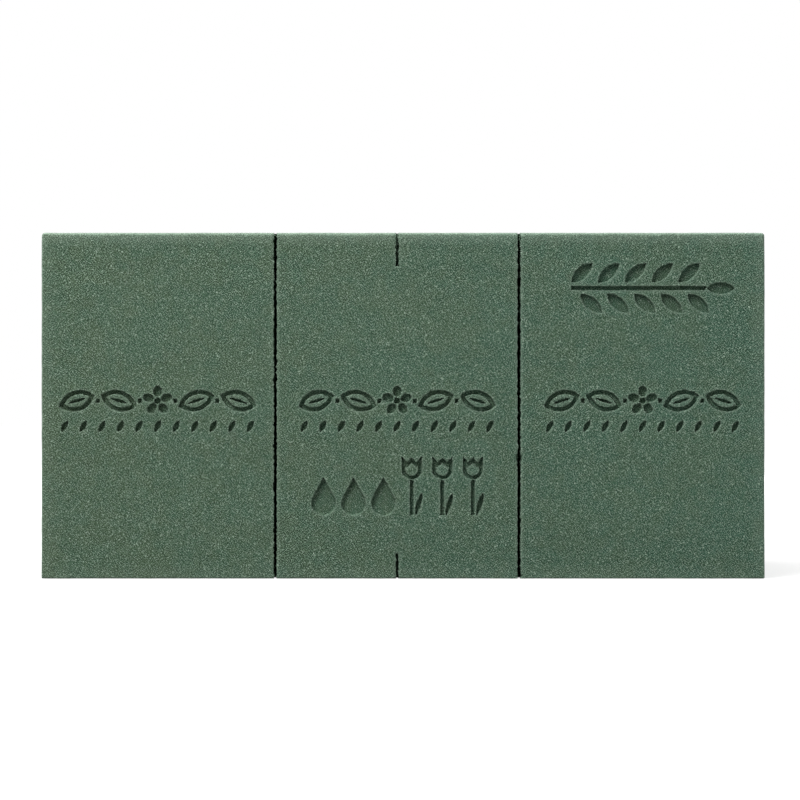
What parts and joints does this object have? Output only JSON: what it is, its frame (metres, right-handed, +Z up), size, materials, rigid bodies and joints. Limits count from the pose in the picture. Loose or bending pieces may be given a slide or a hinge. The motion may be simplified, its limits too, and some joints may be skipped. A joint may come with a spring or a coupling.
{
  "type": "floral foam brick",
  "caption": "Rectangular brick of rigid green floral foam, scored across its front face into portions that part and draw off, with botanical ornament pressed into that face.",
  "frame": {"origin": "middle of the underside, the long narrow face that the brick stands on", "axes": "+Z up from that face; +X along the brick, from the left portion to the right portion seen from the front; +Y through the brick, so that the scored and stamped face looks along -Y"},
  "size_m": [0.23, 0.08, 0.11],
  "materials": {
    "floral_foam": "dry open-cell phenolic foam, matt and finely pitted, moss green"
  },
  "bodies": {
    "middle": {"middle_portion": "floral_foam"},
    "left": {"left_portion": "floral_foam"},
    "right": {"right_portion": "floral_foam"}
  },
  "joints": [
    {"name": "left_portion_parting", "type": "slide", "parent": "middle", "child": "left", "axis": [-1, 0, 0], "range_m": [0, 0.04]},
    {"name": "right_portion_parting", "type": "slide", "parent": "middle", "child": "right", "axis": [1, 0, 0], "range_m": [0, 0.04]}
  ]
}
